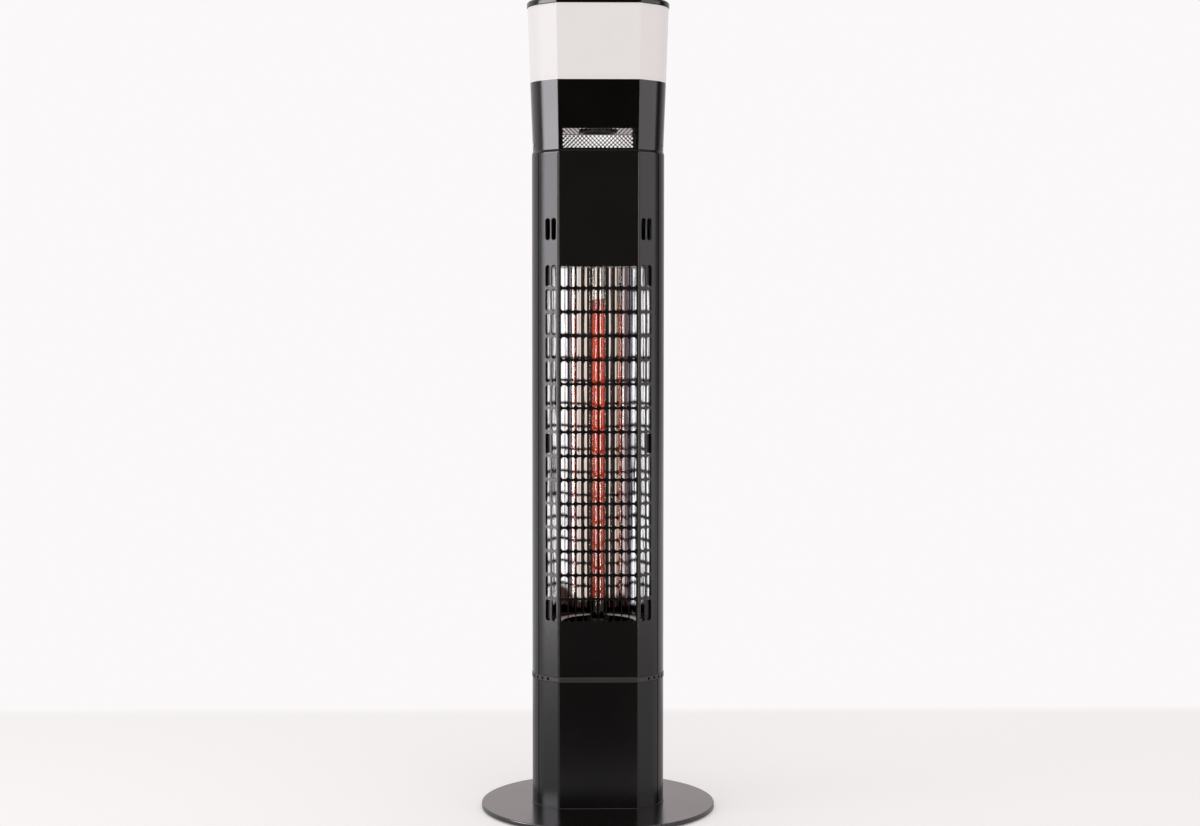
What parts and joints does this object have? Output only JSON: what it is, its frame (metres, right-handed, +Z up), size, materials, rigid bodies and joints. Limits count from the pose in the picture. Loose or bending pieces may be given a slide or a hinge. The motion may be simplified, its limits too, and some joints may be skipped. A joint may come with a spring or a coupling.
{
  "type": "infrared patio heater tower",
  "caption": "Slim free-standing infrared tower heater: round foot, louvred grille over a quartz tube and reflector, mesh speaker head and a glowing lamp under a flat cap.",
  "frame": {"origin": "on the floor under the middle of the round foot", "axes": "+Z up, +X to the right of someone facing the heater, front towards -Y"},
  "size_m": [0.32, 0.32, 1.1],
  "materials": {
    "black_enamel": "satin black powder coat",
    "base_enamel": "fine-textured black powder coat",
    "black_plastic": "fine-grained moulded plastic",
    "gloss_black": "smooth moulded plastic",
    "opal_plastic": "opal diffuser, lit from inside",
    "bright_aluminium": "mirror-polished sheet",
    "plain_aluminium": "mill finish",
    "zinc_steel": "bright zinc plate",
    "black_steel": "heat-proof black",
    "quartz": "clear quartz tube",
    "carbon": "woven carbon strip, glowing orange",
    "ceramic": "glazed steatite",
    "rubber": "soft black rubber",
    "speaker_paper": "doped paper cone",
    "circuit_board": "green solder mask",
    "white_plastic": "white moulded plastic",
    "led_yellow": "phosphor"
  },
  "bodies": {
    "tower": {"base_plate": "base_enamel", "base_feet": "rubber", "base_bolts": "zinc_steel", "foot_flange": "black_enamel", "lower_front_cover": "black_enamel", "lower_back_cover": "black_enamel", "lower_left_rail": "black_enamel", "lower_right_rail": "black_enamel", "vent_collar": "black_plastic", "rail_pins": "zinc_steel", "rail_screws": "zinc_steel", "cover_screws": "black_steel", "front_grille": "black_enamel", "rear_cover": "black_enamel", "left_rail": "black_enamel", "right_rail": "black_enamel", "reflector": "bright_aluminium", "reflector_bottom_plate": "bright_aluminium", "reflector_top_plate": "bright_aluminium", "reflector_brackets": "black_steel", "quartz_tube": "quartz", "heating_filament": "carbon", "element_leads": "zinc_steel", "element_end_caps": "ceramic", "element_clips": "zinc_steel", "heat_shield": "plain_aluminium", "thermal_cutout": "black_plastic", "neck_collar": "gloss_black", "head_housing": "gloss_black", "head_screws": "zinc_steel", "front_mesh": "black_steel", "rear_mesh": "black_steel", "speaker_baffle": "black_plastic", "speaker_frame": "black_steel", "speaker_magnet": "zinc_steel", "speaker_surround": "rubber", "control_board": "circuit_board", "amplifier_board": "circuit_board", "lamp_tray": "white_plastic", "lamp_diffuser": "opal_plastic", "lamp_column": "plain_aluminium", "led_boards": "circuit_board", "leds": "led_yellow", "lamp_tie_rod": "zinc_steel", "lamp_gasket": "rubber", "top_cap": "gloss_black", "cable_gland": "black_plastic", "gland_locknut": "black_plastic", "switch_frame": "black_plastic", "terminal_block": "white_plastic", "wiring_loom": "rubber", "tip_bracket": "zinc_steel", "tip_microswitch": "black_plastic"},
    "rocker": {"switch_rocker": "gloss_black"},
    "cone": {"speaker_cone": "speaker_paper"},
    "pendulum": {"tip_pendulum": "zinc_steel"}
  },
  "joints": [
    {"name": "rocker_tilt", "type": "hinge", "parent": "tower", "child": "rocker", "pos_m": [0.03, 0.0542, 0.072], "axis": [1, 0, 0], "range_deg": [-22, 0]},
    {"name": "cone_travel", "type": "slide", "parent": "tower", "child": "cone", "axis": [0, 0, 1], "range_m": [-0.0015, 0.0015], "stiffness_N_per_m": 700},
    {"name": "pendulum_swing", "type": "hinge", "parent": "tower", "child": "pendulum", "pos_m": [0, -0.014, 0.062], "axis": [1, 0, 0], "range_deg": [-30, 30]}
  ]
}
